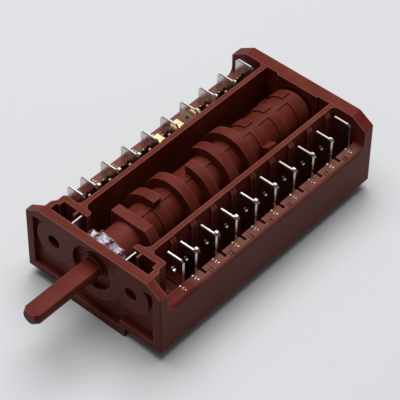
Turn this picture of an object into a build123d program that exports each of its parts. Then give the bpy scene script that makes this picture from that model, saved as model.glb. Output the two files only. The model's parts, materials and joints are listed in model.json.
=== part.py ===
from build123d import *
import os

os.makedirs("parts", exist_ok=True)

# Selector switch for a stove: an open moulded housing, a camshaft with a star wheel and nine
# switching stations, ten pairs of blade terminals, nine contact leaves and a sprung detent.
# Millimetres. The origin lies on the shaft's axis in the front face of the housing, +Y runs
# back along the shaft, +Z is up, on the open side, and +X is to the right seen from the front.

# Housing across: the central trough, the inner walls, the side troughs and the side walls
trough_width = 23.0
inner_wall = 1.5
tab_side_gap = 1.64
side_wall = 3.66
side_wall_top = -0.9
side_wall_round = 1.5
gusset_radius = 4.6
rear_gusset_radius = 3.0
corner_cut_x = 5.1
corner_cut_z = 3.15
keel_width = 22.6
keel_trough_width = 19.6

# Housing up and down
plate_top = 8.13
inner_wall_drop = 0.13
trough_floor = -14.2
base_thickness = 1.46
keel_depth = 3.35
keel_wall = 1.7

# Housing along the shaft
front_plate = 2.8
rear_plate = 3.84
rear_gap = 0.43
plate_corner_round = 0.6
rear_corner_round = 1.5

# Ribs on the inner walls and slots in the side walls, one to each tab
wall_rib = 0.95
wall_rib_length = 1.8
wall_rib_lap = 0.45
wall_rib_top_drop = 0.3
wall_rib_top_slope = 1.3
wall_slot = 1.05
wall_slot_gap = 0.85
wall_slot_length = 2.1
wall_slot_depth = 3.0
window_height = 1.5

# Infill between each pocket block and the first tab
infill_gap = 0.24
infill_top = -2.7

# Rear plate inside: a proud pad across the trough with a round recess about the bearing
rear_pad_width = 14.6
rear_pad_proud = 0.55
rear_recess_radius = 6.5
rear_recess_depth = 0.85

# Front face
field_depth = 1.55
field_margin = 2.7
field_corner = 0.8
field_top = 5.0
field_bottom = -13.3
keel_field_margin = 1.6
keel_field_drop = 2.6
boss_radius = 6.2
mount_spacing = 28.0
mount_hole_radius = 2.15
spindle_pad_radius = 10.2
spindle_recess_radius = 7.0
spindle_recess_depth = 1.55
bearing_gap = 0.35
bearing_lip = 0.5

# Camshaft
spindle_radius = 3.0
spindle_flat = 1.6
spindle_length = 23.3
spindle_tip_cone = 1.5
spindle_tip_radius = 2.1
flat_end_y = 0.35
collar_radius = 4.0
inner_collar_radius = 3.45
inner_collar_y = 1.3
shaft_play = 0.06
star_tip_radius = 8.1
star_valley_radius = 6.6
star_valley_round = 1.9
star_teeth = 12
star_end_play = 0.6
star_width = 3.4
core_radius = 5.7
station_count = 9
station_pitch = 8.07
rim_width = 3.2
lobe_radius = 9.25
rim_low_radius = 6.5
raised_radius = 7.0
track_radius = 6.45
track_low_radius = 6.0
track_step_angle = 80
station_one_top = 7.0
station_one_left = 6.0
drum_end_gap = 1.9
drum_end_radius = 6.4
drum_end_length = 0.8
journal_radius = 5.0
journal_length = 4.3
journal_end_gap = 0.2
journal_mouth = 0.5
journal_mouth_depth = 0.8

# Detent pockets, plates and springs
pocket_length = 8.2
pocket_back_wall = 2.0
pocket_wall = 0.75
pocket_front_skin = 0.1
pocket_width = 4.35
pocket_floor = -9.0
pocket_mouth_width = 2.5
pocket_rib = 0.65
pocket_nub_length = 0.95
pocket_lip_x = 8.2
pocket_lip_cut = 0.7
pocket_corner_cut = 0.6
pocket_gusset_back = 2.2
pocket_gusset_slope = 1.4
pocket_inner_round = 2.4
pocket_outer_round = 1.6
detent_sheet = 0.4
detent_plate_width = 3.8
detent_edge_gap = 0.05
detent_travel = 1.0
detent_rib_gap = 0.1
detent_plate_top = 7.9
detent_plate_bottom = -6.0
detent_bead_radius = 1.75
detent_bead_height = 1.25
detent_clearance = 0.25
detent_plate_gap = 0.3
detent_flange_length = 2.6
detent_flange_height = 5.0
bow_sheet = 0.4
bow_width = 1.8
bow_flange_gap = 0.15
bow_half_height = 4.5
bow_waist = 3.6
bow_bend_radius = 1.2
bow_end_gap = 0.05

# Terminals, contact leaves and contacts
first_tab_gap = 3.29
second_tab_gap = 4.17
station_tab_gap = 0.74
tab_width = 6.3
tab_sheet = 0.8
tab_top = 7.32
tab_cut_x = 0.83
tab_cut_z = 0.72
tab_tip_chamfer = 0.2
tab_hole_radius = 0.85
tab_hole_z = 2.6
lug_gap = 2.84
lug_width = 2.1
lug_top = 3.35
lug_cut = 0.6
foot_width = 3.0
foot_inner_x = 7.6
foot_side_gap = 0.1
last_base_length = 2.4
leaf_sheet = 0.4
leaf_lobe_gap = 0.5
leaf_bend_radius = 1.2
leaf_shoulder_x = 4.6
leaf_shoulder_drop = 1.2
leaf_root_length = 3.6
leaf_bend_x = 8.2
leaf_tip_length = 1.6
contact_x = 8.8
contact_length = 2.2
contact_width = 1.6
contact_height = 0.8
contact_open_gap = 1.0

# Worked out from the values above: across
side_trough_inner = trough_width / 2 + inner_wall
tab_inner_x = side_trough_inner + tab_side_gap
tab_middle_x = tab_inner_x + tab_width / 2
side_trough_outer = tab_inner_x + tab_width
half_width = side_trough_outer + side_wall
housing_width = 2 * half_width
bead_tip_x = star_tip_radius + detent_clearance
detent_plate_x = bead_tip_x + detent_bead_height
pocket_inner_x = detent_plate_x + detent_sheet + detent_plate_gap
pocket_outer_x = pocket_inner_x + pocket_length
pocket_rib_x = detent_plate_x + detent_sheet + detent_travel + detent_rib_gap
plate_cut_x = half_width - corner_cut_x

# Worked out: up and down
underside = trough_floor - base_thickness
keel_bottom = underside - keel_depth
keel_floor = keel_bottom + keel_wall
inner_wall_top = plate_top - inner_wall_drop
foot_top = trough_floor + tab_sheet
leaf_crest = -(lobe_radius + leaf_lobe_gap)

# Worked out: along the shaft
pocket_front_y = front_plate + pocket_front_skin
pocket_end_y = pocket_front_y + pocket_width
pocket_back_y = pocket_end_y + pocket_back_wall
detent_front_y = pocket_front_y + detent_edge_gap
bow_front_y = detent_front_y + detent_sheet + bow_flange_gap
first_terminal_y = pocket_back_y + first_tab_gap
second_terminal_y = first_terminal_y + tab_sheet + second_tab_gap
terminal_count = station_count + 1
first_station_y = first_terminal_y + tab_sheet + station_tab_gap
rim_middle = rim_width / 2
leaf_width = foot_width - 2 * foot_side_gap
last_terminal_y = second_terminal_y + station_pitch * (terminal_count - 2)
rear_face = last_terminal_y + last_base_length + rear_gap
housing_length = rear_face + rear_plate
spindle_tip_y = -spindle_length
star_front_y = front_plate + star_end_play
drum_end_y = rear_face - drum_end_gap


def across(y):
    """The plane across the switch at y; its extrusions run back with a negative amount."""
    return Plane.XZ.offset(-y)


def station_y(number):
    """The front of a station's rim."""
    return first_station_y + station_pitch * (number - 1)


def terminal_y(number):
    """The front face of a terminal's tab. The first pair stands closer to the second."""
    if number == 1:
        return first_terminal_y
    return second_terminal_y + station_pitch * (number - 2)


def sector(radius, start, end):
    """A sector of a disc. Seen from the front, its angles turn from +X to +Z."""
    with BuildSketch(Plane.XY) as shape:
        with BuildLine():
            rim = CenterArc((0, 0), radius, start, end - start)
            Line((0, 0), rim @ 0)
            Line((0, 0), rim @ 1)
        make_face()
    return shape.sketch


def corner_fill(x, y, x_way, y_way, radius):
    """A fill with a concave arc in the corner at x, y, which opens towards x_way and y_way."""
    middle = radius * (1 - 0.5**0.5)
    with BuildSketch(Plane.XY) as shape:
        with BuildLine():
            ThreePointArc(
                (x, y + y_way * radius),
                (x + x_way * middle, y + y_way * middle),
                (x + x_way * radius, y),
            )
            Polyline((x + x_way * radius, y), (x, y), (x, y + y_way * radius))
        make_face()
    return shape.sketch


# Housing: one moulding, with a keel, a central trough and a trough along each side
with BuildPart() as housing:
    with BuildSketch(across(0)):
        with Locations((0, underside)):
            Rectangle(housing_width, side_wall_top - underside, align=(Align.CENTER, Align.MIN))
        fillet(vertices().group_by(Axis.Y)[-1], side_wall_round)
        with Locations((0, keel_bottom)):
            Rectangle(keel_width, keel_depth, align=(Align.CENTER, Align.MIN))
    extrude(amount=-housing_length)
    with BuildSketch(across(0)):
        Rectangle(
            trough_width + 2 * inner_wall,
            inner_wall_top,
            align=(Align.CENTER, Align.MIN),
        )
        with Locations((0, 0)):
            Rectangle(trough_width + 2 * inner_wall, -side_wall_top * 2, align=(Align.CENTER, Align.MAX))
    extrude(amount=-housing_length)

    # The troughs
    with BuildSketch(across(front_plate)):
        with Locations((0, trough_floor)):
            Rectangle(trough_width, plate_top - trough_floor, align=(Align.CENTER, Align.MIN))
        with Locations((0, keel_floor)):
            Rectangle(keel_trough_width, trough_floor - keel_floor, align=(Align.CENTER, Align.MIN))
        for side in (-1, 1):
            with Locations((side * (side_trough_inner + side_trough_outer) / 2, trough_floor)):
                Rectangle(
                    side_trough_outer - side_trough_inner,
                    plate_top - trough_floor,
                    align=(Align.CENTER, Align.MIN),
                )
    extrude(amount=-(rear_face - front_plate), mode=Mode.SUBTRACT)

    # The end plates, each with its upper corners cut
    for plate_y, thickness in ((0, front_plate), (rear_face, rear_plate)):
        with BuildSketch(across(plate_y)):
            with BuildLine():
                Polyline(
                    (0, underside),
                    (half_width, underside),
                    (half_width, plate_top - corner_cut_z),
                    (half_width - corner_cut_x, plate_top),
                    (0, plate_top),
                )
                mirror(about=Plane.YZ)
            make_face()
        extrude(amount=-thickness)

    # Concave gussets run from the end plates down onto the side walls, the front ones from a
    # block that fills the trough beside the pocket
    low = side_wall_top - side_wall_round
    for side in (-1, 1):
        with BuildSketch(Plane.YZ.offset(side * (pocket_outer_x + half_width) / 2)):
            with BuildLine():
                front_arc = CenterArc(
                    (front_plate + gusset_radius, low + gusset_radius), gusset_radius, 180, 90
                )
                Line(front_arc @ 0, (front_plate, low))
                Line((front_plate, low), front_arc @ 1)
            make_face()
        extrude(amount=(half_width - pocket_outer_x) / 2, both=True)
        with BuildSketch(Plane.XY.offset(trough_floor)):
            block_x = side * (pocket_outer_x + side_trough_outer) / 2
            with Locations((block_x, (front_plate + pocket_back_y) / 2)):
                Rectangle(side_trough_outer - pocket_outer_x, pocket_back_y - front_plate)
        extrude(amount=low - trough_floor)
        with BuildSketch(Plane.YZ.offset(side * (half_width - side_wall / 2))):
            with BuildLine():
                rear_arc = CenterArc(
                    (rear_face - rear_gusset_radius, low + rear_gusset_radius),
                    rear_gusset_radius,
                    270,
                    90,
                )
                Line(rear_arc @ 1, (rear_face, low))
                Line((rear_face, low), rear_arc @ 0)
            make_face()
        extrude(amount=side_wall / 2, both=True)

    # The plates' upright outer corners are rounded
    for plate_edges in (
        housing.edges().filter_by(Axis.Z).group_by(Axis.Y)[0],
        housing.edges().filter_by(Axis.Z).group_by(Axis.Y)[-1],
    ):
        fillet(plate_edges.group_by(Axis.X)[0] + plate_edges.group_by(Axis.X)[-1], plate_corner_round)

    # Blocks behind the front plate, one on each side, that hold the detent springs. Each has a
    # lip behind the detent plate and flows into the inner wall, and an infill lies behind it.
    for side in (-1, 1):
        with BuildSketch(Plane.XY.offset(trough_floor)):
            with BuildLine():
                Polyline(
                    (side * pocket_inner_x, front_plate),
                    (side * pocket_inner_x, pocket_end_y),
                    (side * pocket_lip_x, pocket_end_y),
                    (side * pocket_lip_x, pocket_back_y - pocket_lip_cut),
                    (side * (pocket_lip_x + pocket_lip_cut), pocket_back_y),
                    (side * (pocket_outer_x - pocket_corner_cut), pocket_back_y),
                    (side * pocket_outer_x, pocket_back_y - pocket_corner_cut),
                    (side * pocket_outer_x, front_plate + pocket_gusset_back + pocket_gusset_slope),
                    (side * plate_cut_x, front_plate + pocket_gusset_back),
                    (side * plate_cut_x, front_plate),
                    close=True,
                )
            make_face()
        extrude(amount=plate_top - trough_floor)
        with BuildSketch(Plane.XY.offset(trough_floor)):
            add(
                corner_fill(
                    side * (side_trough_inner - inner_wall), pocket_back_y, -side, 1, pocket_inner_round
                )
            )
            add(corner_fill(side * side_trough_inner, pocket_back_y, side, 1, pocket_outer_round))
        extrude(amount=inner_wall_top - trough_floor)
        with BuildSketch(Plane.XY.offset(trough_floor)):
            infill_length = first_terminal_y - infill_gap - pocket_back_y
            with Locations(
                (
                    side * (side_trough_inner + side_trough_outer) / 2,
                    pocket_back_y + infill_length / 2,
                )
            ):
                Rectangle(side_trough_outer - side_trough_inner, infill_length)
        extrude(amount=infill_top - trough_floor)
        with BuildSketch(Plane.XY.offset(pocket_floor)):
            pocket_end_x = pocket_outer_x - pocket_wall
            for start_x, end_x, length in (
                (pocket_inner_x, pocket_end_x, pocket_mouth_width),
                (pocket_inner_x, pocket_rib_x, pocket_width),
                (pocket_rib_x + pocket_rib, pocket_end_x - pocket_nub_length, pocket_width),
            ):
                with Locations((side * (start_x + end_x) / 2, pocket_front_y + length / 2)):
                    Rectangle(end_x - start_x, length)
        extrude(amount=plate_top - pocket_floor, mode=Mode.SUBTRACT)

    # Inside the rear plate, the pad across the central trough and rounded side trough corners
    with BuildSketch(across(rear_face)):
        with Locations((0, trough_floor)):
            Rectangle(rear_pad_width, plate_top - trough_floor, align=(Align.CENTER, Align.MIN))
    extrude(amount=rear_pad_proud)
    with BuildSketch(Plane.XY.offset(trough_floor)):
        for side in (-1, 1):
            add(corner_fill(side * side_trough_inner, rear_face, side, -1, rear_corner_round))
    extrude(amount=inner_wall_top - trough_floor)

    # Windows under the inner walls, through which the terminals' feet reach the contacts
    with BuildSketch(Plane.XY.offset(trough_floor)):
        for number in range(1, station_count + 1):
            for side in (-1, 1):
                with Locations(
                    (side * (side_trough_inner - inner_wall / 2), station_y(number) + rim_middle)
                ):
                    Rectangle(inner_wall, foot_width + 2 * foot_side_gap)
    extrude(amount=window_height, mode=Mode.SUBTRACT)

    # A rib on each inner wall beside each tab, from above the windows up to a sloping top
    for number in range(2, terminal_count + 1):
        with BuildSketch(across(terminal_y(number) + wall_rib_lap - wall_rib_length)):
            for side in (-1, 1):
                rib_x = side * (side_trough_inner + wall_rib)
                rib_top = inner_wall_top - wall_rib_top_drop
                with BuildLine():
                    Polyline(
                        (side * side_trough_inner, trough_floor + window_height),
                        (side * side_trough_inner, rib_top),
                        (rib_x, rib_top - wall_rib_top_slope),
                        (rib_x, trough_floor + window_height),
                        close=True,
                    )
                make_face()
        extrude(amount=-wall_rib_length)

    # A slot in the top of the side wall behind each tab
    with BuildSketch(Plane.XY.offset(side_wall_top)):
        for number in range(2, terminal_count):
            for side in (-1, 1):
                slot_y = terminal_y(number) + tab_sheet + wall_slot_gap + wall_slot / 2
                with Locations((side * (side_trough_outer + wall_slot_length / 2), slot_y)):
                    Rectangle(wall_slot_length, wall_slot)
    extrude(amount=-wall_slot_depth, mode=Mode.SUBTRACT)

    # The front face: a shallow field round three pads, with the spindle's recess in the middle
    with BuildSketch(across(0)):
        with Locations((0, field_bottom)):
            Rectangle(
                housing_width - 2 * field_margin,
                field_top - field_bottom,
                align=(Align.CENTER, Align.MIN),
            )
        chamfer(vertices().group_by(Axis.Y)[-1], field_corner)
        with Locations((0, field_bottom)):
            Rectangle(
                keel_width - 2 * keel_field_margin,
                keel_field_drop,
                align=(Align.CENTER, Align.MAX),
            )
        with Locations((-mount_spacing / 2, 0), (mount_spacing / 2, 0)):
            Circle(boss_radius, mode=Mode.SUBTRACT)
        Circle(spindle_pad_radius, mode=Mode.SUBTRACT)
    extrude(amount=-field_depth, mode=Mode.SUBTRACT)
    with BuildSketch(across(0)):
        Circle(spindle_recess_radius)
    extrude(amount=-spindle_recess_depth, mode=Mode.SUBTRACT)
    with BuildSketch(across(0)):
        Circle(collar_radius + bearing_gap)
    extrude(amount=-(spindle_recess_depth + bearing_lip), mode=Mode.SUBTRACT)
    with BuildSketch(across(0)):
        Circle(collar_radius + shaft_play)
        with Locations((-mount_spacing / 2, 0), (mount_spacing / 2, 0)):
            Circle(mount_hole_radius)
    extrude(amount=-pocket_front_y, mode=Mode.SUBTRACT)

    # The rear bearing, a blind bore with a wider mouth in a round recess
    with BuildSketch(across(rear_face - rear_pad_proud)):
        Circle(rear_recess_radius)
    extrude(amount=-rear_recess_depth, mode=Mode.SUBTRACT)
    with BuildSketch(across(rear_face)):
        Circle(journal_radius + shaft_play)
    bore_depth = journal_length + journal_end_gap - drum_end_gap
    extrude(amount=-bore_depth, mode=Mode.SUBTRACT)
    with BuildSketch(across(rear_face)):
        Circle(journal_radius + journal_mouth)
    extrude(amount=-journal_mouth_depth, mode=Mode.SUBTRACT)

housing.part.label = "housing"
export_step(housing.part, "parts/housing.step")

# The angles over which each station's rim stands tall, and over which it is raised a little
tall_angles = {
    1: (),
    2: ((78, 205),),
    3: ((-25, 232),),
    4: ((-48, 100),),
    5: ((-15, 130),),
    6: ((20, 175),),
    7: ((-85, 29),),
    8: ((215, 262),),
    9: ((185, 232),),
}
raised_angles = {7: (95, 160), 8: (95, 175), 9: (95, 150)}

# Camshaft: the spindle, the star wheel of the detent and the drum with its stations, one piece
with BuildPart() as camshaft:
    # Spindle, collars and core
    with BuildSketch(Plane.YZ):
        with BuildLine():
            Polyline(
                (spindle_tip_y, 0),
                (spindle_tip_y, spindle_tip_radius),
                (spindle_tip_y + spindle_tip_cone, spindle_radius),
                (flat_end_y, spindle_radius),
                (flat_end_y, inner_collar_radius),
                (inner_collar_y, inner_collar_radius),
                (inner_collar_y, collar_radius),
                (star_front_y, collar_radius),
                (star_front_y, core_radius),
                (first_station_y, core_radius),
                (first_station_y, track_low_radius),
                (drum_end_y, track_low_radius),
                (drum_end_y, journal_radius),
                (drum_end_y + journal_length, journal_radius),
                (drum_end_y + journal_length, 0),
                close=True,
            )
        make_face()
    revolve(axis=Axis.Y)
    with BuildSketch(across(spindle_tip_y)):
        with Locations((0, spindle_flat)):
            Rectangle(2 * spindle_radius, spindle_radius, align=(Align.CENTER, Align.MIN))
    extrude(amount=-(flat_end_y - spindle_tip_y), mode=Mode.SUBTRACT)

    # Star wheel, its valleys level with the detent beads
    with BuildSketch(across(star_front_y)):
        Circle(star_tip_radius)
        with PolarLocations(star_valley_radius + star_valley_round, star_teeth):
            Circle(star_valley_round, mode=Mode.SUBTRACT)
    extrude(amount=-star_width)

    # Stations: a rim with its lobes, then a track with one small step
    for number in range(1, station_count + 1):
        with BuildSketch(across(station_y(number))):
            if number == 1:
                Circle(lobe_radius)
                with Locations((0, station_one_top)):
                    Rectangle(
                        2 * lobe_radius,
                        lobe_radius,
                        align=(Align.CENTER, Align.MIN),
                        mode=Mode.SUBTRACT,
                    )
                with Locations((-station_one_left, 0)):
                    Rectangle(
                        lobe_radius,
                        2 * lobe_radius,
                        align=(Align.MAX, Align.CENTER),
                        mode=Mode.SUBTRACT,
                    )
            else:
                Circle(rim_low_radius)
                for start, end in tall_angles[number]:
                    add(sector(lobe_radius, start, end))
                if number in raised_angles:
                    add(sector(raised_radius, *raised_angles[number]))
        extrude(amount=-rim_width)
        track_end = drum_end_y if number == station_count else station_y(number + 1)
        with BuildSketch(across(station_y(number) + rim_width)):
            add(sector(track_radius, track_step_angle, track_step_angle + 200))
        extrude(amount=-(track_end - station_y(number) - rim_width))
    with BuildSketch(across(drum_end_y)):
        Circle(drum_end_radius)
    extrude(amount=drum_end_length)

camshaft.part.label = "camshaft"
export_step(camshaft.part, "parts/camshaft.step")


def build_terminal(number, side):
    """One stamped terminal: the tab, the base in the trough, the lug and the contact foot."""
    front = terminal_y(number)
    foot_back = station_y(number) + rim_middle + leaf_width / 2
    base_back = front + last_base_length if number == terminal_count else foot_back
    with BuildPart() as terminal:
        with BuildSketch(across(front)):
            with BuildLine():
                Polyline(
                    (side * tab_inner_x, trough_floor),
                    (side * tab_inner_x, tab_top - tab_cut_z),
                    (side * (tab_inner_x + tab_cut_x), tab_top),
                    (side * (tab_inner_x + tab_width - tab_cut_x), tab_top),
                    (side * (tab_inner_x + tab_width), tab_top - tab_cut_z),
                    (side * (tab_inner_x + tab_width), trough_floor),
                    close=True,
                )
            make_face()
            with Locations((side * tab_middle_x, tab_hole_z)):
                Circle(tab_hole_radius, mode=Mode.SUBTRACT)
        extrude(amount=-tab_sheet)
        chamfer(terminal.edges().filter_by(Axis.X).group_by(Axis.Z)[-1], tab_tip_chamfer)
        with BuildSketch(Plane.XY.offset(trough_floor)):
            with Locations((side * tab_middle_x, (front + base_back) / 2)):
                Rectangle(tab_width, base_back - front)
            if number < terminal_count:
                foot_x = (foot_inner_x + tab_middle_x) / 2
                with Locations((side * foot_x, station_y(number) + rim_middle)):
                    Rectangle(tab_middle_x - foot_inner_x, leaf_width)
        extrude(amount=tab_sheet)
        if 1 < number < terminal_count:
            with BuildSketch(across(front + tab_sheet + lug_gap)):
                with Locations((side * tab_middle_x, trough_floor)):
                    Rectangle(lug_width, lug_top - trough_floor, align=(Align.CENTER, Align.MIN))
                chamfer(vertices().group_by(Axis.Y)[-1], lug_cut)
            extrude(amount=-tab_sheet)
    return terminal


for side_name, side in (("near", 1), ("far", -1)):
    for number in range(1, terminal_count + 1):
        terminal = build_terminal(number, side)
        terminal.part.label = f"terminal_{side_name}_{number}"
        export_step(terminal.part, f"parts/terminal_{side_name}_{number}.step")

# Contact leaves: welded to the near feet, arched under the camshaft, open over the far feet
contact_top = foot_top + contact_height
leaf_free_z = contact_top + contact_open_gap + contact_height + leaf_sheet / 2
leaf_root_z = foot_top + leaf_sheet / 2
leaf_points = [
    (leaf_bend_x + leaf_root_length, leaf_root_z),
    (leaf_bend_x, leaf_root_z),
    (leaf_shoulder_x, leaf_crest - leaf_shoulder_drop),
    (0, leaf_crest - leaf_sheet / 2),
    (-leaf_shoulder_x, leaf_free_z),
    (-contact_x - leaf_tip_length, leaf_free_z),
]
for number in range(1, station_count + 1):
    middle = station_y(number) + rim_middle
    with BuildPart() as leaf:
        with BuildSketch(across(middle - leaf_width / 2)):
            with BuildLine():
                FilletPolyline(*leaf_points, radius=leaf_bend_radius)
            trace(line_width=leaf_sheet)
        extrude(amount=-leaf_width)
    leaf.part.label = f"contact_leaf_{number}"
    export_step(leaf.part, f"parts/contact_leaf_{number}.step")

# Silver contacts: the fixed ones stand on the far feet, the moving ones hang under the leaves
contact_rest = contact_top + contact_open_gap
for name, contact_bottom in (("fixed_contacts", foot_top), ("moving_contacts", contact_rest)):
    with BuildPart() as contacts:
        with BuildSketch(Plane.XY.offset(contact_bottom)):
            for number in range(1, station_count + 1):
                with Locations((-contact_x, station_y(number) + rim_middle)):
                    Rectangle(contact_length, contact_width)
        extrude(amount=contact_height)
    contacts.part.label = name
    export_step(contacts.part, f"parts/{name}.step")

# Detent: on each side a sliding plate whose bead faces a valley of the star wheel, and a bow
# spring between the plate and the pocket's outer wall
bow_seat_x = detent_plate_x + detent_sheet
bow_end_x = pocket_outer_x - pocket_wall - bow_end_gap
bow_waist_x = (bow_seat_x + bow_end_x) / 2
for side_name, side in (("near", 1), ("far", -1)):
    with BuildPart() as plate:
        with BuildSketch(across(detent_front_y)):
            with Locations((side * (detent_plate_x + detent_sheet / 2), detent_plate_bottom)):
                Rectangle(
                    detent_sheet,
                    detent_plate_top - detent_plate_bottom,
                    align=(Align.CENTER, Align.MIN),
                )
            with Locations((side * (bead_tip_x + detent_bead_radius), 0)):
                Circle(detent_bead_radius)
            with Locations((side * (bow_seat_x + detent_bead_radius), 0)):
                Rectangle(2 * detent_bead_radius, 2 * detent_bead_radius, mode=Mode.SUBTRACT)
        extrude(amount=-detent_plate_width)
        with BuildSketch(Plane.XY.offset(-detent_flange_height / 2)):
            flange_y = detent_front_y + detent_sheet / 2
            with Locations((side * (bow_seat_x + detent_flange_length / 2), flange_y)):
                Rectangle(detent_flange_length, detent_sheet)
        extrude(amount=detent_flange_height)
    plate.part.label = f"detent_plate_{side_name}"
    export_step(plate.part, f"parts/detent_plate_{side_name}.step")

    with BuildPart() as bow:
        with BuildSketch(across(bow_front_y)):
            with BuildLine():
                FilletPolyline(
                    (side * bow_end_x, -bow_half_height),
                    (side * bow_waist_x, -bow_waist),
                    (side * (bow_seat_x + bow_sheet / 2), 0),
                    (side * bow_waist_x, bow_waist),
                    (side * bow_end_x, bow_half_height),
                    radius=bow_bend_radius,
                )
            trace(line_width=bow_sheet)
        extrude(amount=-bow_width)
    bow.part.label = f"detent_spring_{side_name}"
    export_step(bow.part, f"parts/detent_spring_{side_name}.step")
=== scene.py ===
import json
import math

import bmesh
import bpy
from mathutils import Matrix, Vector, noise


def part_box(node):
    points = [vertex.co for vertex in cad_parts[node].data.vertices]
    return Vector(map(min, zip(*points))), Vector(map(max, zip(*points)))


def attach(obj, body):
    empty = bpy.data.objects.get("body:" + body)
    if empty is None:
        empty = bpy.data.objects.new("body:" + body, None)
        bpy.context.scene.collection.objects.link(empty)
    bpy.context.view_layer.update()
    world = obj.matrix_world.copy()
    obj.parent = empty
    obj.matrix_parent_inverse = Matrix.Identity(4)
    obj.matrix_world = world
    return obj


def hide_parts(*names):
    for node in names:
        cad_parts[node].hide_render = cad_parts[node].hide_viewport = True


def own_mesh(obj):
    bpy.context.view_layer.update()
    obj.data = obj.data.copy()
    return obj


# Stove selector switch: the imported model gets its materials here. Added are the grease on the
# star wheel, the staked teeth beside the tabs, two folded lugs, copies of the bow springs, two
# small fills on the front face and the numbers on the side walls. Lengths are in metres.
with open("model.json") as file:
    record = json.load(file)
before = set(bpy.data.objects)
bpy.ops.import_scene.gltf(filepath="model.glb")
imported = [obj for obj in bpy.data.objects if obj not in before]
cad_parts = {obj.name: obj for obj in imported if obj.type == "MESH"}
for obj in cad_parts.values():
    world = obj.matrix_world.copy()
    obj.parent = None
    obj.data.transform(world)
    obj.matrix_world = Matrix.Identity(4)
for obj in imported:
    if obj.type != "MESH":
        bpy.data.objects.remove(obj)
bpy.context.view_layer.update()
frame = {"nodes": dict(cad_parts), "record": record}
MM = 0.001

# Camera, as the photograph was taken; angles in degrees
CAMERA_AT = Vector((249.4, -244.2, 381.9)) * MM
CAMERA_AZIMUTH = 40.952
CAMERA_ELEVATION = 45.629
CAMERA_ROLL = 0.871
CAMERA_LENS = 176.08
CAMERA_SENSOR = 36.0
CAMERA_NEAR = 0.01
CAMERA_FAR = 20.0

# Bodies of the record, the two rows of terminals and the way each of them faces along x
SWITCH_BODY = "switch_body"
CAMSHAFT_BODY = "camshaft"
SIDES = (("near", 1), ("far", -1))
TERMINAL_COUNT = 10

# Places read from the model
HOUSING_LOW, HOUSING_HIGH = (Vector(corner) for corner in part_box("housing"))
MIDDLE = (HOUSING_LOW + HOUSING_HIGH) / 2
FLOOR_Z = HOUSING_LOW.z
TAB_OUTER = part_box("terminal_near_2")[1][0]
SECOND_TAB_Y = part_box("terminal_near_2")[0][1]
STATION_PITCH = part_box("terminal_near_3")[0][1] - SECOND_TAB_Y
TOP_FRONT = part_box("terminal_near_1")[0][1] + 1.0 * MM
TOP_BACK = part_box("terminal_near_10")[1][1] + 2.0 * MM

# Side walls: the height of their tops and the round of the outer edge
WALL_TOP = -0.9 * MM
WALL_ROUND = 1.5 * MM

# The painted sheen on the side walls' tops, paler, as spans (start, end) over which it comes or
# goes
PALE_OUTSIDE = (TAB_OUTER - 0.1 * MM, TAB_OUTER)
PALE_FROM_Y = (TOP_FRONT, TOP_FRONT + 4.0 * MM)
PALE_TO_Y = (TOP_BACK - 3.0 * MM, TOP_BACK)
PALE_FROM_Z = (WALL_TOP - 1.3 * MM, WALL_TOP - 0.1 * MM)
PALE_TO_Z = (WALL_TOP + 0.1 * MM, WALL_TOP + 0.6 * MM)

# Lugs, bare brass: spans of y behind each tab's front face
LUG_MIDDLE = TAB_OUTER - 3.15 * MM
LUG_TOP = 3.35 * MM
LUG_FROM = (2.0 * MM, 2.2 * MM)
LUG_TO = (5.6 * MM, 5.8 * MM)
FIRST_LUG_FROM = (0.0, 0.1 * MM)

# Two far lugs folded over: half the width, the sheet and the line (y, z) of it, in millimetres
FOLDED_LUGS = (5, 6)
FOLD_HALF = 1.45
FOLD_THICK = 0.24
FOLD_LINE = ((2.5, -1.5), (2.95, -0.1), (3.5, 0.1), (5.0, 0.1), (5.6, -0.3), (5.9, -1.3))

# Latch holes of the tabs, whose bores get a painted shade: the span of radius where it ends, and
# that of the tab along y
HOLE_Z = 2.6 * MM
HOLE_RADIUS = 0.85 * MM
HOLE_TO = (HOLE_RADIUS + 0.02 * MM, HOLE_RADIUS + 0.06 * MM)
TAB_MARGIN = 0.1 * MM
TAB_TO = (1.1 * MM, 1.3 * MM)

# The tab whose lower part carries a painted golden reflection, and the span of z where that ends
PAINTED_REFLECTION_NODE = "terminal_far_7"
REFLECTION_TOP = 5.2 * MM
REFLECTION_TO = (REFLECTION_TOP - 0.5 * MM, REFLECTION_TOP)

# Staked teeth: how far outside the wall, how far before the tab, and radius, in millimetres
STAKES = ((0.1, 1.05, 0.46), (1.15, 0.85, 0.30), (1.3, 1.45, 0.26), (2.05, 1.0, 0.36))
STAKE_FLAT_Y = 0.8
STAKE_FLAT_Z = 0.45
STAKE_UNEVEN = 0.5
STAKE_LUMP = 2.3 * MM

# Corners of the front face's field between the pads, (x, z) and depths, in millimetres
FILL_OUTLINE = (
    (8.82, 5.02),
    (8.95, 4.86),
    (9.14, 4.5),
    (9.34, 4.05),
    (9.72, 4.52),
    (10.4, 5.02),
)
FILL_DEPTHS = (0.01, 1.0)

# Star wheel, as the model has it
STAR_TEETH = 12
STAR_TIP = 8.1 * MM
STAR_VALLEY = 6.6 * MM
STAR_VALLEY_ROUND = 1.9 * MM
STAR_FRONT = 3.4 * MM
STAR_BACK = 6.8 * MM

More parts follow.
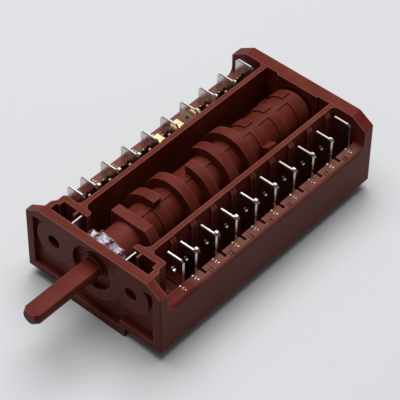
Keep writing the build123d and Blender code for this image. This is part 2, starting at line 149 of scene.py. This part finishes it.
# The film of grease on the star wheel's upper teeth: angles in degrees, and its thickness and
# what it loses in millimetres. The rows in GREASE_ENDS turn in under the film. GREASE_NOISE is
# how rough the lumps are, how much finer each layer of them is, and how many layers there are.
GREASE_FROM = 24.0
GREASE_TO = 172.0
GREASE_STEPS = 300
GREASE_ROWS = 22
GREASE_ENDS = (0, GREASE_ROWS - 1, GREASE_ROWS)
GREASE_FRONT = STAR_FRONT - 0.16 * MM
GREASE_LENGTH = STAR_BACK - STAR_FRONT + 0.3 * MM
GREASE_INNER = 5.9 * MM
GREASE_LIMIT = 8.3 * MM
GREASE_LUMP = 1.3 * MM
GREASE_NOISE = (0.8, 2.1, 4)
GREASE_THICKNESS = 0.24
GREASE_UNEVEN = 0.27
GREASE_TIP_LOSS = 0.27
GREASE_TIP_POWER = 1.5
GREASE_RIM_LOSS = 0.2
GREASE_RIM_STEPS = 14

# Numbers on the side walls: what is added to a terminal's own number, and their place from it
NUMBER_ADDED = {"near": 9, "far": 19}
NUMBER_SIZE = 1.95 * MM
NUMBER_STROKE = 0.045 * MM
NUMBER_RAISE = 0.04 * MM
NUMBER_OUT = 2.26 * MM
NUMBER_BEHIND = 3.85 * MM
NUMBER_CUTS = range(-6, 7)
NUMBER_CUT_STEP = 0.15 * MM

# Colours, linear
BROWN = (0.152, 0.023, 0.014)
BROWN_DARK = (0.124, 0.017, 0.010)
BROWN_LIGHT = (0.190, 0.040, 0.029)
# Paler edges of the housing and of the camshaft: wear and a painted highlight
BROWN_EDGE_WEAR_AND_HIGHLIGHT = (0.400, 0.165, 0.130)
CAMSHAFT_EDGE_WEAR_AND_HIGHLIGHT = (0.235, 0.068, 0.052)
# Painted sheen on the side walls' tops
WALL_TOP_SHEEN_BROWN = (0.215, 0.080, 0.064)
NUMBER_BROWN = (0.030, 0.006, 0.005)
LUG_BRASS = (0.66, 0.60, 0.48)
# Painted golden reflection on one far tab's lower part
PAINTED_REFLECTION_BRASS = (0.98, 0.76, 0.55)
# Painted shade in the bores of the tabs' latch holes
HOLE_PAINTED_SHADE = (0.22, 0.18, 0.15)
# Grease: darker where thin and in its lumps' lows, paler where thick and on their tops, partly
# painted shade and painted highlight
GREASE_THIN_SHADED = (0.25, 0.18, 0.24)
GREASE = (0.53, 0.48, 0.61)
GREASE_THICK_HIGHLIT = (0.86, 0.88, 0.93)
FLOOR = (0.82, 0.83, 0.85)
FLOOR_BOUNCE = (0.15, 0.16, 0.18)
FLOOR_HAZE = 0.985
SKY = (0.95, 0.97, 1.0)

# Surroundings
SKY_STRENGTH = 0.125
FLOOR_SIZE = 4.0

# Metals: colour, its shade, least and most roughness, strength of the grain. The grain is drawn
# out along the sheet, and bare brass is duller than plating.
PLATED_LOOK = ((0.64, 0.61, 0.58), (0.56, 0.52, 0.48), 0.12, 0.24, 0.07)
BRASS_LOOK = ((0.88, 0.66, 0.44), (0.74, 0.48, 0.28), 0.22, 0.36, 0.2)
BRONZE_LOOK = ((0.62, 0.38, 0.20), (0.42, 0.24, 0.13), 0.22, 0.38, 0.2)
SILVER_LOOK = ((0.88, 0.88, 0.86), (0.62, 0.60, 0.56), 0.25, 0.40, 0.15)
STEEL_LOOK = ((0.42, 0.42, 0.43), (0.40, 0.40, 0.41), 0.20, 0.35, 0.25)
STAKED_LOOK = ((0.74, 0.64, 0.50), (0.52, 0.38, 0.28), 0.22, 0.40, 0.3)
GRAIN_STRETCH = (1.0, 1.0, 0.12)
# The painted golden reflection on one tab: its roughness, and how metallic it is
REFLECTION_ROUGHNESS = 0.55
REFLECTION_METALLIC = 0.15

# Moulding: how far the wear and painted highlight of its edges reach and how strongly they show,
# how round its edges look, its gloss, and how far light goes into it and into the grease
EDGE_HIGHLIGHT_REACH = 0.32 * MM
EDGE_HIGHLIGHT_SHARE = 0.75
EDGE_ROUND = 0.2 * MM
CAMSHAFT_SCATTER = 0.4
SKIN_SPECULAR = 0.24
SKIN_TINT = (1.0, 0.45, 0.38, 1.0)
SKIN_RADIUS = (0.0010, 0.0004, 0.0003)
GREASE_RADIUS = (0.0006, 0.0005, 0.0005)


def new_material(name):
    """An empty node material: its tree, its shader and its place coordinates."""
    material = bpy.data.materials.new(name)
    material.use_nodes = True
    tree = material.node_tree
    tree.nodes.clear()
    out = tree.nodes.new("ShaderNodeOutputMaterial")
    shader = tree.nodes.new("ShaderNodeBsdfPrincipled")
    tree.links.new(shader.outputs["BSDF"], out.inputs["Surface"])
    place = tree.nodes.new("ShaderNodeTexCoord").outputs["Object"]
    return material, tree, shader, place


def axes_of(tree, place):
    """The sockets X, Y and Z of a place."""
    node = tree.nodes.new("ShaderNodeSeparateXYZ")
    tree.links.new(place, node.inputs[0])
    return node.outputs


def maths(tree, operation, *values):
    """One Math node; each value is a socket or a number."""
    node = tree.nodes.new("ShaderNodeMath")
    node.operation = operation
    for socket, value in zip(node.inputs, values):
        if isinstance(value, float):
            socket.default_value = value
        else:
            tree.links.new(value, socket)
    return node.outputs[0]


def noise_value(tree, place, size, detail=4.0, roughness=0.55):
    """Noise whose blotches are about size metres across."""
    node = tree.nodes.new("ShaderNodeTexNoise")
    node.inputs["Scale"].default_value = 1.0 / size
    node.inputs["Detail"].default_value = detail
    node.inputs["Roughness"].default_value = roughness
    tree.links.new(place, node.inputs["Vector"])
    return node.outputs["Fac"]


def ramp(tree, value, stops):
    """A colour ramp over value; stops are (position, linear colour)."""
    node = tree.nodes.new("ShaderNodeValToRGB")
    elements = node.color_ramp.elements
    while len(elements) < len(stops):
        elements.new(0.5)
    for element, (position, colour) in zip(elements, stops):
        element.position = position
        element.color = (*colour, 1.0)
    tree.links.new(value, node.inputs["Fac"])
    return node.outputs["Color"]


def map_range(tree, value, low, high, from_low=0.3, from_high=0.7):
    """Value moved to the range low to high, by default from the range that noise fills."""
    node = tree.nodes.new("ShaderNodeMapRange")
    node.inputs["From Min"].default_value = from_low
    node.inputs["From Max"].default_value = from_high
    node.inputs["To Min"].default_value = low
    node.inputs["To Max"].default_value = high
    tree.links.new(value, node.inputs["Value"])
    return node.outputs["Result"]


def rise(tree, value, span):
    """Nothing below the span, one above it."""
    return map_range(tree, value, 0.0, 1.0, *span)


def fall(tree, value, span):
    """One below the span, nothing above it."""
    return map_range(tree, value, 1.0, 0.0, *span)


def mix_colour(tree, factor, first, second):
    """Two colours, each a socket or a tuple, mixed by factor, a socket."""
    node = tree.nodes.new("ShaderNodeMix")
    node.data_type = "RGBA"
    tree.links.new(factor, node.inputs[0])
    for socket, colour in ((node.inputs[6], first), (node.inputs[7], second)):
        if isinstance(colour, tuple):
            socket.default_value = (*colour, 1.0)
        else:
            tree.links.new(colour, socket)
    return node.outputs[2]


def bump(tree, shader, height, strength, depth, edge=0.0):
    """Bump on the shader, over edges that catch the light as if rounded by edge metres."""
    node = tree.nodes.new("ShaderNodeBump")
    node.inputs["Strength"].default_value = strength
    node.inputs["Distance"].default_value = depth
    tree.links.new(height, node.inputs["Height"])
    if edge:
        bevel = tree.nodes.new("ShaderNodeBevel")
        bevel.samples = 6
        bevel.inputs["Radius"].default_value = edge
        tree.links.new(bevel.outputs["Normal"], node.inputs["Normal"])
    tree.links.new(node.outputs["Normal"], shader.inputs["Normal"])


def masked(tree, factors):
    """The product of several factors."""
    product = factors[0]
    for factor in factors[1:]:
        product = maths(tree, "MULTIPLY", product, factor)
    return product


def wall_top_sheen_mask(tree, place):
    """One on the side walls' tops, which get a painted sheen, and nothing elsewhere."""
    axes = axes_of(tree, place)
    outside = rise(tree, maths(tree, "ABSOLUTE", axes["X"]), PALE_OUTSIDE)
    front = rise(tree, axes["Y"], PALE_FROM_Y)
    back = fall(tree, axes["Y"], PALE_TO_Y)
    above = rise(tree, axes["Z"], PALE_FROM_Z)
    below = fall(tree, axes["Z"], PALE_TO_Z)
    return masked(tree, (outside, front, back, above, below))


def edge_wear_and_highlight(tree):
    """The share of wear and painted highlight along the piece's own outer edges, and nothing
    inside its faces.
    """
    nearby = tree.nodes.new("ShaderNodeAmbientOcclusion")
    nearby.inside = True
    nearby.only_local = True
    nearby.samples = 6
    nearby.inputs["Distance"].default_value = EDGE_HIGHLIGHT_REACH
    return map_range(tree, nearby.outputs["AO"], EDGE_HIGHLIGHT_SHARE, 0.0, 0.5, 0.95)


def moulding(name, dark, middle, light, wear_and_highlight, edge, wall_tops=False, scatter=0.0):
    """Brown thermoset: faint flow patches, fine speckle, satin skin, paler edges from wear and a
    painted highlight, and on the wall tops a painted sheen.
    """
    material, tree, shader, place = new_material(name)
    patches = noise_value(tree, place, size=0.009, detail=3.0)
    speckle = noise_value(tree, place, size=0.00035, detail=2.0)
    colour = ramp(tree, patches, ((0.35, dark), (0.5, middle), (0.68, light)))
    colour = mix_colour(tree, map_range(tree, speckle, 0.0, 0.35), colour, dark)
    # Painted sheen on the side walls' tops
    if wall_tops:
        colour = mix_colour(tree, wall_top_sheen_mask(tree, place), colour, WALL_TOP_SHEEN_BROWN)
    # Paler edges: wear and a painted highlight
    if wear_and_highlight:
        colour = mix_colour(tree, edge_wear_and_highlight(tree), colour, wear_and_highlight)
    tree.links.new(colour, shader.inputs["Base Color"])
    tree.links.new(map_range(tree, patches, 0.44, 0.55), shader.inputs["Roughness"])
    shader.inputs["Specular IOR Level"].default_value = SKIN_SPECULAR
    shader.inputs["Specular Tint"].default_value = SKIN_TINT
    shader.inputs["Subsurface Weight"].default_value = scatter
    shader.inputs["Subsurface Radius"].default_value = SKIN_RADIUS
    shader.inputs["Subsurface Scale"].default_value = 1.0
    bump(tree, shader, speckle, strength=0.25, depth=0.00004, edge=edge)
    return material


def behind_tab(tree, place, start):
    """How far a place lies behind start along y, and behind the last tab before it."""
    along = maths(tree, "SUBTRACT", axes_of(tree, place)["Y"], start)
    return along, maths(tree, "FLOORED_MODULO", along, STATION_PITCH)


def lug_mask(tree, place):
    """One on the terminals' lugs, which are bare brass, and nothing on their tabs."""
    along, turn = behind_tab(tree, place, SECOND_TAB_Y)
    behind = rise(tree, turn, LUG_FROM)
    before = fall(tree, turn, LUG_TO)
    past_first = rise(tree, along, FIRST_LUG_FROM)
    return masked(tree, (behind, before, past_first))


def hole_shade_mask(tree, place):
    """One in the bores of the tabs' latch holes, which get a painted shade, and nothing
    elsewhere.
    """
    axes = axes_of(tree, place)
    at = tree.nodes.new("ShaderNodeCombineXYZ")
    tree.links.new(maths(tree, "ABSOLUTE", axes["X"]), at.inputs["X"])
    tree.links.new(axes["Z"], at.inputs["Z"])
    away = tree.nodes.new("ShaderNodeVectorMath")
    away.operation = "DISTANCE"
    away.inputs[1].default_value = (LUG_MIDDLE, 0.0, HOLE_Z)
    tree.links.new(at.outputs[0], away.inputs[0])
    inside = fall(tree, away.outputs["Value"], HOLE_TO)
    _, turn = behind_tab(tree, place, SECOND_TAB_Y - TAB_MARGIN)
    return masked(tree, (inside, fall(tree, turn, TAB_TO)))


def metal(name, colour, shade, rough_low, rough_high, grain, lugs=False, painted_reflection=False):
    """Rolled or plated sheet: fine grain along the sheet and slight tarnish.

    With lugs, the terminals' lugs are brass and their latch holes get a painted shade. The other
    flag paints a golden reflection, duller and less metallic, onto the sheet's lower part.
    """
    material, tree, shader, place = new_material(name)
    stretch = tree.nodes.new("ShaderNodeMapping")
    stretch.inputs["Scale"].default_value = GRAIN_STRETCH
    tree.links.new(place, stretch.inputs["Vector"])
    scratches = noise_value(tree, stretch.outputs["Vector"], size=0.00012, detail=3.0)
    tarnish = noise_value(tree, place, size=0.004, detail=4.0)
    tint = ramp(tree, tarnish, ((0.35, shade), (0.6, colour)))
    rough = map_range(tree, tarnish, rough_low, rough_high)
    if lugs:
        tint = mix_colour(tree, lug_mask(tree, place), tint, LUG_BRASS)
    if painted_reflection:
        # Painted golden reflection on the sheet's lower part
        zone = fall(tree, axes_of(tree, place)["Z"], REFLECTION_TO)
        tint = mix_colour(tree, zone, tint, PAINTED_REFLECTION_BRASS)
        dull = map_range(tree, zone, 0.0, REFLECTION_ROUGHNESS, 0.0, 1.0)
        rough = maths(tree, "MAXIMUM", rough, dull)
        metallic = map_range(tree, zone, 1.0, REFLECTION_METALLIC, 0.0, 1.0)
        tree.links.new(metallic, shader.inputs["Metallic"])
    else:
        shader.inputs["Metallic"].default_value = 1.0
    if lugs:
        # Painted shade in the latch holes
        tint = mix_colour(tree, hole_shade_mask(tree, place), tint, HOLE_PAINTED_SHADE)
    tree.links.new(tint, shader.inputs["Base Color"])
    tree.links.new(rough, shader.inputs["Roughness"])
    bump(tree, shader, scratches, strength=grain, depth=0.00002)
    return material


def grease_material():
    """White grease, thin and glossy; darker in the lows of its lumps and paler on their tops, as
    thin and thick film and as painted shade and painted highlight.
    """
    material, tree, shader, place = new_material("white_grease")
    lumps = noise_value(tree, place, size=0.0011, detail=5.0)
    tint = ramp(tree, lumps, ((0.34, GREASE_THIN_SHADED), (0.5, GREASE), (0.66, GREASE_THICK_HIGHLIT)))
    tree.links.new(tint, shader.inputs["Base Color"])
    tree.links.new(map_range(tree, lumps, 0.18, 0.34), shader.inputs["Roughness"])
    shader.inputs["Subsurface Weight"].default_value = 0.25
    shader.inputs["Subsurface Radius"].default_value = GREASE_RADIUS
    shader.inputs["Subsurface Scale"].default_value = 1.0
    shader.inputs["Coat Weight"].default_value = 0.6
    shader.inputs["Coat Roughness"].default_value = 0.12
    bump(tree, shader, lumps, strength=0.9, depth=0.0003)
    return material


def floor_material():
    """A pale floor that throws little light back onto the underside."""
    material, tree, shader, place = new_material("pale_floor")
    haze = noise_value(tree, place, size=0.2, detail=2.0)
    pale = tuple(channel * FLOOR_HAZE for channel in FLOOR)
    seen = ramp(tree, haze, ((0.3, pale), (0.7, FLOOR)))
    ray = tree.nodes.new("ShaderNodeLightPath").outputs
    straight = maths(tree, "MAXIMUM", ray["Is Camera Ray"], ray["Is Glossy Ray"])
    through = maths(tree, "MAXIMUM", straight, ray["Is Transmission Ray"])
    colour = mix_colour(tree, through, FLOOR_BOUNCE, seen)
    tree.links.new(colour, shader.inputs["Base Color"])
    shader.inputs["Roughness"].default_value = 0.6
    return material


def dress_nodes(by_slot):
    """Every node of the model takes the material of its slot in the record."""
    for row in frame["record"]["subparts"]:
        node = frame["nodes"][row["node"]]
        node.data.materials.clear()
        node.data.materials.append(by_slot[row["material_slot"]])


def add_object(name, data):
    """A new object in the scene, over its mesh, text, light or camera."""
    piece = bpy.data.objects.new(name, data)
    bpy.context.scene.collection.objects.link(piece)
    return piece


def add_mesh(name, verts, faces, material, smooth=True):
    """A new piece from its corners and faces."""
    mesh = bpy.data.meshes.new(name)
    mesh.from_pydata([tuple(v) for v in verts], [], faces)
    mesh.materials.append(material)
    for polygon in mesh.polygons:
        polygon.use_smooth = smooth
    return add_object(name, mesh)


def terminal_place(side_name, number):
    """A terminal's outer x, without its sign, and its front y."""
    low, high = (Vector(c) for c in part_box(f"terminal_{side_name}_{number}"))
    return max(abs(low.x), abs(high.x)), low.y


def star_radius(angle):
    """The star wheel's radius at an angle in degrees from +X to +Z."""
    pitch = 360.0 / STAR_TEETH
    off = (angle + pitch / 2) % pitch - pitch / 2
    centre = STAR_VALLEY + STAR_VALLEY_ROUND
    turn = math.radians(off)
    square = STAR_VALLEY_ROUND ** 2 - (centre * math.sin(turn)) ** 2
    if square <= 0.0:
        return STAR_TIP
    return min(STAR_TIP, centre * math.cos(turn) - math.sqrt(square))


def film_radius(angle, step, y):
    """The grease's radius: thick in the valleys, thin over the tips and at both ends."""
    radius = star_radius(angle)
    turn = math.radians(angle)
    at = Vector((math.cos(turn) * radius, y, math.sin(turn) * radius))
    lumps = noise.fractal(at / GREASE_LUMP, *GREASE_NOISE)
    height = (radius - STAR_VALLEY) / (STAR_TIP - STAR_VALLEY)
    thinner = GREASE_TIP_LOSS * height ** GREASE_TIP_POWER
    film = (GREASE_THICKNESS - thinner + GREASE_UNEVEN * lumps) * MM
    rim = min(step, GREASE_STEPS - step) / GREASE_RIM_STEPS
    film -= max(0.0, 1.0 - rim) * GREASE_RIM_LOSS * MM
    return min(radius + film, GREASE_LIMIT)


def grease(material):
    """A film that follows the teeth, and whose first and last rows turn in under it."""
    verts = []
    for row in range(GREASE_ROWS + 1):
        y = GREASE_FRONT + row / GREASE_ROWS * GREASE_LENGTH
        for step in range(GREASE_STEPS + 1):
            angle = GREASE_FROM + (GREASE_TO - GREASE_FROM) * step / GREASE_STEPS
            radius = GREASE_INNER if row in GREASE_ENDS else film_radius(angle, step, y)
            turn = math.radians(angle)
            verts.append((math.cos(turn) * radius, y, math.sin(turn) * radius))
    across = GREASE_STEPS + 1
    faces = []
    for row in range(GREASE_ROWS):
        for step in range(GREASE_STEPS):
            a = row * across + step
            faces.append((a, a + 1, a + across + 1, a + across))
    piece = add_mesh("star_grease", verts, faces, material)
    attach(piece, CAMSHAFT_BODY)


def staked_teeth(material):
    """Small bright teeth where each terminal is staked into the side wall."""
    bm = bmesh.new()
    for side_name, side in SIDES:
        for number in range(1, TERMINAL_COUNT + 1):
            wall, front = terminal_place(side_name, number)
            for along, back, size in STAKES:
                at = Vector((side * (wall + along * MM), front - back * MM, WALL_TOP))
                wobble = 1.0 + STAKE_UNEVEN * noise.noise(at / STAKE_LUMP)
                radius = size * wobble * MM
                shape = bmesh.ops.create_icosphere(bm, subdivisions=3, radius=radius)
                for vert in shape["verts"]:
                    x, y, z = vert.co
                    vert.co = Vector((x, y * STAKE_FLAT_Y, z * STAKE_FLAT_Z)) + at
    mesh = bpy.data.meshes.new("staked_teeth")
    bm.to_mesh(mesh)
    bm.free()
    for polygon in mesh.polygons:
        polygon.use_smooth = True
    mesh.materials.append(material)
    piece = add_object("staked_teeth", mesh)
    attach(piece, SWITCH_BODY)


def lug_folds(material):
    """Two far lugs are folded over at the top, and their bare brass catches the light."""
    for number in FOLDED_LUGS:
        front = SECOND_TAB_Y + (number - 2) * STATION_PITCH
        verts = []
        for across in (-FOLD_HALF, FOLD_HALF):
            for lift in (0.0, FOLD_THICK):
                for y, z in FOLD_LINE:
                    x = -LUG_MIDDLE + across * MM
                    verts.append((x, front + y * MM, LUG_TOP + (z + lift) * MM))
        count = len(FOLD_LINE)
        faces = []
        for step in range(count - 1):
            a, b, c, d = (row * count + step for row in range(4))
            faces += [(a, a + 1, c + 1, c), (b, d, d + 1, b + 1)]
            faces += [(a, b, b + 1, a + 1), (c, c + 1, d + 1, d)]
        for end in (0, count - 1):
            a, b, c, d = (row * count + end for row in range(4))
            faces.append((a, b, d, c))
        piece = add_mesh(f"lug_fold_{number}", verts, faces, material, smooth=False)
        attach(piece, SWITCH_BODY)


def bow_springs():
    """Copies of the bow springs, in place of the model's own, which are hidden."""
    for side_name, side in SIDES:
        node = f"detent_spring_{side_name}"
        mesh = frame["nodes"][node].data.copy()
        piece = add_object(f"bow_spring_{side_name}", mesh)
        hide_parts(node)
        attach(piece, SWITCH_BODY)
        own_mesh(piece)


def field_fills(material):
    """The small corners of the front face's field between the pads, filled all but flush."""
    count = len(FILL_OUTLINE)
    for side_name, side in (("right", 1), ("left", -1)):
        verts = []
        for depth in FILL_DEPTHS:
            verts += [(side * x * MM, depth * MM, z * MM) for x, z in FILL_OUTLINE]
        faces = [tuple(range(count)), tuple(range(count, 2 * count))]
        for step in range(count):
            after = (step + 1) % count
            faces.append((step, after, count + after, count + step))
        piece = add_mesh(f"field_fill_{side_name}", verts, faces, material, smooth=False)
        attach(piece, SWITCH_BODY)


def wall_height(x):
    """The height of the side wall's rounded top at x."""
    off = x - (HOUSING_HIGH.x - WALL_ROUND)
    if off <= 0.0:
        return WALL_TOP
    return WALL_TOP - WALL_ROUND + math.sqrt(max(WALL_ROUND ** 2 - off ** 2, 0.0))


def number_mesh(name, body):
    """A flat raised number about its middle, cut across so that it can bend."""
    text = bpy.data.curves.new(name, "FONT")
    text.body = body
    text.size = NUMBER_SIZE
    text.offset = NUMBER_STROKE
    text.extrude = NUMBER_RAISE
    text.align_x = "CENTER"
    text.align_y = "CENTER"
    pattern = add_object("pattern", text)
    bpy.context.view_layer.update()
    evaluated = pattern.evaluated_get(bpy.context.evaluated_depsgraph_get())
    mesh = bpy.data.meshes.new_from_object(evaluated)
    bpy.data.objects.remove(pattern)
    bm = bmesh.new()
    bm.from_mesh(mesh)
    for cut in NUMBER_CUTS:
        parts = bm.verts[:] + bm.edges[:] + bm.faces[:]
        at = (0.0, cut * NUMBER_CUT_STEP, 0.0)
        bmesh.ops.bisect_plane(bm, geom=parts, plane_co=at, plane_no=(0, 1, 0), dist=1e-7)
    bm.to_mesh(mesh)
    bm.free()
    mesh.materials.clear()
    return mesh


def wall_numbers(material):
    """A plain raised number on the side wall behind each tab but the first and the last.

    The numbers lie on the wall's rounded top and are read from outside the wall.
    """
    for side_name, side in SIDES:
        for number in range(2, TERMINAL_COUNT):
            name = f"number_{side_name}_{number}"
            wall, front = terminal_place(side_name, number)
            mesh = number_mesh(name, str(number + NUMBER_ADDED[side_name]))
            for vert in mesh.vertices:
                x = side * (wall + NUMBER_OUT) - side * vert.co.y
                y = front + NUMBER_BEHIND + side * vert.co.x
                vert.co = (x, y, wall_height(abs(x)) + vert.co.z)
            mesh.materials.append(material)
            piece = add_object(name, mesh)
            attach(piece, SWITCH_BODY)


def stage(material):
    """The floor that the switch stands on."""
    at = (MIDDLE.x, MIDDLE.y, FLOOR_Z)
    bpy.ops.mesh.primitive_plane_add(size=FLOOR_SIZE, location=at)
    floor = bpy.context.object
    floor.name = "floor"
    floor.data.materials.append(material)


def area_light(name, at, size, power):
    """A white area light that faces the switch."""
    data = bpy.data.lights.new(name, "AREA")
    data.shape = "RECTANGLE"
    data.size, data.size_y = size
    data.energy = power
    light = add_object(name, data)
    light.location = at
    light.rotation_euler = (MIDDLE - Vector(at)).to_track_quat("-Z", "Y").to_euler()


def lighting():
    """A large soft key light, a small light from the far side and a faint sky."""
    area_light("key", at=(-0.22, 0.18, 1.05), size=(1.1, 1.0), power=11.7)
    area_light("edge", at=(-0.66, 0.78, 1.00), size=(0.55, 0.45), power=1.0)
    world = bpy.data.worlds.new("world")
    bpy.context.scene.world = world
    world.use_nodes = True
    background = world.node_tree.nodes["Background"]
    background.inputs["Color"].default_value = (*SKY, 1.0)
    background.inputs["Strength"].default_value = SKY_STRENGTH


def camera():
    """The camera as it stood for the photograph."""
    azimuth = math.radians(CAMERA_AZIMUTH)
    elevation = math.radians(CAMERA_ELEVATION)
    roll = math.radians(CAMERA_ROLL)
    flat = math.cos(elevation)
    back = Vector((math.sin(azimuth) * flat, -math.cos(azimuth) * flat, math.sin(elevation)))
    level = Vector((math.cos(azimuth), math.sin(azimuth), 0.0))
    upright = back.cross(level)
    right = math.cos(roll) * level + math.sin(roll) * upright
    up = -math.sin(roll) * level + math.cos(roll) * upright
    data = bpy.data.cameras.new("camera")
    data.lens = CAMERA_LENS
    data.sensor_width = CAMERA_SENSOR
    data.clip_start = CAMERA_NEAR
    data.clip_end = CAMERA_FAR
    piece = add_object("camera", data)
    turn = Matrix((right, up, back)).transposed().to_4x4()
    piece.matrix_world = Matrix.Translation(CAMERA_AT) @ turn
    bpy.context.scene.camera = piece


plated = metal("plated_sheet", *PLATED_LOOK, lugs=True)
reflection_sheet = metal("painted_reflection_sheet", *PLATED_LOOK, lugs=True, painted_reflection=True)
brass = metal("bare_brass", *BRASS_LOOK)
browns = (BROWN_DARK, BROWN, BROWN_LIGHT)
housing_moulding = moulding(
    "housing_moulding", *browns, wear_and_highlight=BROWN_EDGE_WEAR_AND_HIGHLIGHT, edge=EDGE_ROUND, wall_tops=True
)
camshaft_moulding = moulding(
    "camshaft_moulding", *browns, wear_and_highlight=CAMSHAFT_EDGE_WEAR_AND_HIGHLIGHT, edge=0.0, scatter=CAMSHAFT_SCATTER
)
number_moulding = moulding(
    "number_moulding", NUMBER_BROWN, NUMBER_BROWN, BROWN_DARK, wear_and_highlight=None, edge=0.0
)
dress_nodes(
    {
        "moulding": housing_moulding,
        "camshaft_moulding": camshaft_moulding,
        "plated_brass": plated,
        "spring_bronze": metal("spring_bronze", *BRONZE_LOOK),
        "silver": metal("silver_contact", *SILVER_LOOK),
        "spring_steel": metal("spring_steel", *STEEL_LOOK),
    }
)
# One far tab carries a painted golden reflection on its lower part
frame["nodes"][PAINTED_REFLECTION_NODE].data.materials[0] = reflection_sheet
grease(grease_material())
staked_teeth(metal("staked_edges", *STAKED_LOOK))
lug_folds(brass)
bow_springs()
field_fills(housing_moulding)
wall_numbers(number_moulding)
stage(floor_material())
lighting()
camera()

bpy.context.scene.view_settings.view_transform = "Standard"
